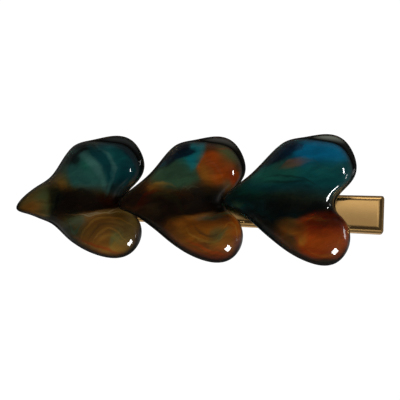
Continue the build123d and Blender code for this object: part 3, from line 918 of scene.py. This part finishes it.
def marbled_glass(name, heart_name, groups, seed):
    """Cloudy resin under a clear gloss, with its marbling placed in the heart's own frame. The skirt is painted
    grey as a reflection, and the dome's foot and the rim are painted dark as shade. Shadow rays pass it dimmed."""
    material, tree, shader = new_material(name)
    heart = hearts[heart_name]
    own = heart_frame(heart)
    place = new_node(tree, "ShaderNodeTexCoord")["Object"]
    from_frame = {
        "Vector": place,
        "Location": own.translation,
        "Rotation": own.to_euler(),
        "Scale": (heart["length"] * MM,) * 3,
    }
    shares = new_node(tree, "ShaderNodeMapping", from_frame, vector_type="TEXTURE")[0]
    from_rim, to_foot = (
        new_node(tree, "ShaderNodeAttribute", attribute_name=kept)["Fac"]
        for kept in ("from_rim", "to_foot")
    )
    colour = marbling(tree, shares, heart_name, groups, seed)
    # Painted shade: the colour darkens towards the dome's foot
    near_foot = smooth_range(tree, to_foot, *foot_shade, 0.0, foot_darkened)
    colour = colour_mix(tree, near_foot, colour, painted_shade_colour)
    foot = (1.0 - foot_band[0], 1.0 + foot_band[0])
    past_foot = smooth_range(tree, to_foot, *foot, 0.0, skirt_weight)
    # Skirt: painted shade near the dome's foot, rising to a grey painted reflection that is strongest on the far
    # side
    reflected_grey, skirt_across = skirt_reflections[heart_name]
    across = separate(tree, shares)["Y"]
    far_side = smooth_range(tree, across, *skirt_across, least_reflected_share, 1.0)
    risen = smooth_range(tree, to_foot, *skirt_rise)
    shade_to_reflection = math_node(tree, "MULTIPLY", risen, far_side)
    skirt_shade_and_reflection = colour_mix(tree, shade_to_reflection, painted_shade_colour, reflected_grey)
    colour = colour_mix(tree, past_foot, colour, skirt_shade_and_reflection)
    # Painted shade: dark lines along the dome's foot and along the rim
    off_foot = math_node(tree, "ABSOLUTE", math_node(tree, "SUBTRACT", to_foot, 1.0))
    for distance, band in ((off_foot, foot_band), (from_rim, rim_band)):
        line = smooth_range(tree, distance, *band, rim_weight, 0.0)
        colour = colour_mix(tree, line, colour, painted_shade_colour)
    rough = (body_roughness, skirt_roughness)
    uneven = {"Vector": place, "Scale": poured_scale, "Depth": poured_depth}
    finish = {
        "Base Color": colour,
        "Roughness": smooth_range(tree, past_foot, 0.0, skirt_weight, *rough),
        "IOR": resin_ior,
        "Specular Tint": (0.0, 0.0, 0.0),
        "Transmission Weight": see_through,
        "Coat Weight": gloss_mask(tree, shares, from_rim, past_foot, shaded_spots[heart_name]),
        "Coat Roughness": gloss_roughness,
        "Coat IOR": resin_ior,
        "Normal": place_group(tree, groups["poured"], **uneven)["Normal"],
    }
    feed(tree, shader.inputs, finish)
    shadow = new_node(tree, "ShaderNodeLightPath")["Is Shadow Ray"]
    clear = new_node(tree, "ShaderNodeBsdfTransparent", {"Color": shadow_tint})[0]
    both = enumerate((shadow, shader.outputs[0], clear))
    surface = new_node(tree, "ShaderNodeMixShader", both)[0]
    feed(tree, tree.nodes["Material Output"].inputs, {"Surface": surface})
    return material


def plated_metal(name, colour, roughness, groups, crowned=False):
    """Plated metal: slow clouds of tone and roughness, and fine rolling lines. Sheet that was
    pressed is shaded as if a little crowned across, by a parabola as the bump's height."""
    material, tree, shader = new_material(name)
    place = new_node(tree, "ShaderNodeTexCoord")["Object"]
    metal = place_group(tree, groups["rolled"], Vector=place, Line_Depth=line_depth)
    normal = metal["Normal"]
    if crowned:
        across = math_node(tree, "SUBTRACT", separate(tree, place)["Y"], hinge["pos_m"][1])
        squared = math_node(tree, "MULTIPLY", across, across)
        height = math_node(tree, "MULTIPLY", squared, -0.5 / crown_radius)
        normal = bump(tree, height, 1.0, Normal=normal)
    deeper = tuple(deep_gain * channel**deep_power for channel in colour)
    worn = (roughness * share for share in worn_shares)
    finish = {
        "Base Color": colour_mix(tree, metal["Clouds"], deeper, colour),
        "Roughness": smooth_range(tree, metal["Clouds"], *worn_clouds, *worn),
        "Metallic": 1.0,
        "Normal": normal,
    }
    feed(tree, shader.inputs, finish)
    return material


def make_hearts(groups):
    """The three hearts as fine surfaces in their solids' places. Gives their objects."""
    made = []
    for order, (name, heart) in enumerate(hearts.items()):
        points, from_rim, to_foot = heart_rings(heart)
        side = name.replace("heart_", "")
        piece = surface_piece(f"marbled_{name}", placed(points, heart_frame(heart)))
        keep_values(piece, "from_rim", from_rim)
        keep_values(piece, "to_foot", to_foot)
        finish = marbled_glass(f"marbled_glass_{side}", name, groups, order * seed_step)
        piece.data.materials.append(finish)
        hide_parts(name)
        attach(piece, "upper")
        made.append(piece)
    return made


def make_spring(groups):
    """The spring's round wire, with its coil about the pin and its legs between the two arms."""
    rings = wire_rings(spring_path(), wire_radius)
    piece = surface_piece("spring_wire", placed(rings, level_frame))
    steel = plated_metal("spring_steel", steel_colour, steel_roughness, groups)
    piece.data.materials.append(steel)
    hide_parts("spring")
    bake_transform(piece)


def dress_metal(groups):
    """Gold plating on the two arms and the pin, which keep their solids' meshes. Gives them."""
    sheet_gold = plated_metal("gold_plating", gold_colour, gold_roughness, groups, crowned=True)
    pin_gold = plated_metal("pin_plating", gold_colour, gold_roughness, groups)
    finishes = {"upper_arm": sheet_gold, "lower_arm": sheet_gold, "pivot_pin": pin_gold}
    for name, finish in finishes.items():
        mesh = frame["nodes"][name].data
        mesh.materials.clear()
        mesh.materials.append(finish)
    return [frame["nodes"][name] for name in finishes]


def make_camera():
    """Camera nearly straight over the plate, leaning to the front and to the finger end."""
    right_lean, front_lean = (
        math.tan(math.radians(lean)) for lean in (lean_to_right, lean_to_front)
    )
    turn = level_frame.to_3x3()
    back = (turn @ Vector((right_lean, -front_lean, 1))).normalized()
    slope = math.radians(clip_slope)
    up = turn @ Vector((-math.sin(slope), math.cos(slope), 0))
    right = up.cross(back).normalized()
    up = back.cross(right)
    data = bpy.data.cameras.new("camera")
    data.sensor_width = sensor
    data.lens = sensor * camera_distance / image_width
    camera = new_object("camera", data)
    stand = level_frame @ (Vector(aim_level) * MM) + back * camera_distance * MM
    facing = Matrix((right, up, back)).transposed().to_4x4()
    camera.matrix_world = Matrix.Translation(stand) @ facing
    bpy.context.scene.camera = camera


def area_lamp(name, toward, distance, sides, power, lit):
    """Lamp this far away in a direction, facing the clip, that lights only the named pieces, or
    all where none is named. Its sides are given across (along x where it stands behind the
    clip) and upwards."""
    data = bpy.data.lights.new(name, "AREA")
    data.shape = "RECTANGLE"
    data.size, data.size_y = (side * MM for side in sides)
    data.energy = power
    lamp = new_object(name, data)
    lamp.location = toward * distance * MM
    lamp.rotation_euler = toward.to_track_quat("Z", "Y").to_euler()
    lamp.visible_camera = False
    if lit:
        receivers = bpy.data.collections.new(f"lit_by_{name}")
        for piece in lit:
            receivers.objects.link(piece)
        lamp.light_linking.receiver_collection = receivers


def make_lamps(marbled, metal):
    """Softbox low at the right front, a window and a pane at the right that only the hearts
    show, and cards before, over and behind the clip that only the metal shows, so that the
    hearts stay deep."""
    for name, (turn, height, side, power, hearts_only) in lamps.items():
        turn, height = math.radians(turn), math.radians(height)
        flat = math.cos(height)
        toward = Vector((math.cos(turn) * flat, math.sin(turn) * flat, math.sin(height)))
        lit = marbled if hearts_only else ()
        area_lamp(name, toward, lamp_distance, (side, side), power, lit)
    for name, (back, aside, height, width, power) in metal_cards.items():
        lean = Vector((math.tan(math.radians(aside)), math.tan(math.radians(back)), 1))
        toward = level_frame.to_3x3() @ lean.normalized()
        area_lamp(name, toward, card_distance, (width, height), power, metal)


def make_floor():
    """Plain pale floor, white to the camera, dim where it is seen through the hearts and dimmer
    where they and the metal mirror it, apart from a pale strip along the clip's front edge."""
    half = floor_half * MM
    corners = [(-half, -half, 0), (half, -half, 0), (half, half, 0), (-half, half, 0)]
    floor = mesh_piece("floor", corners, [(0, 1, 2, 3)])
    material, tree, _ = new_material("pale_floor")
    tree.nodes.clear()
    path = new_node(tree, "ShaderNodeLightPath")
    gain = floor_through - floor_mirrored
    through = math_node(tree, "MULTIPLY", path["Is Transmission Ray"], gain)
    before = separate(tree, new_node(tree, "ShaderNodeTexCoord")["Object"])["Y"]
    back, front = (((end - strip_edge) * MM, end * MM) for end in (strip_back, strip_front))
    back_edge = smooth_range(tree, before, *back, strip_gain, 0.0)
    strip = math_node(tree, "MULTIPLY", back_edge, smooth_range(tree, before, *front))
    mirrored = math_node(tree, "ADD", strip, floor_mirrored)
    dim = math_node(tree, "ADD", through, mirrored)
    white = math_node(tree, "MULTIPLY", path["Is Camera Ray"], floor_white)
    strength = math_node(tree, "MAXIMUM", dim, white)
    light = new_node(tree, "ShaderNodeEmission", {"Strength": strength})[0]
    new_node(tree, "ShaderNodeOutputMaterial", {"Surface": light})
    floor.data.materials.append(material)


def make_world():
    """Dark room, white for the camera."""
    world = bpy.data.worlds.new("studio")
    bpy.context.scene.world = world
    world.use_nodes = True
    tree = world.node_tree
    tree.nodes.clear()
    room, pale = (
        new_node(tree, "ShaderNodeBackground", {"Color": (1.0, 1.0, 1.0), "Strength": strength})[0]
        for strength in (room_light, 1.0)
    )
    to_camera = new_node(tree, "ShaderNodeLightPath")["Is Camera Ray"]
    seen = new_node(tree, "ShaderNodeMixShader", enumerate((to_camera, room, pale)))[0]
    new_node(tree, "ShaderNodeOutputWorld", {"Surface": seen})
    bpy.context.scene.view_settings.view_transform = "Standard"


node_groups = {
    "pool": pool_group(),
    "warp": warp_group(),
    "wisps": wisp_group(),
    "stroke": stroke_group(),
    "poured": poured_group(),
    "rolled": rolled_group(),
}
marbled_hearts = make_hearts(node_groups)
make_spring(node_groups)
plated_pieces = dress_metal(node_groups)
make_camera()
make_lamps(marbled_hearts, plated_pieces)
make_floor()
make_world()
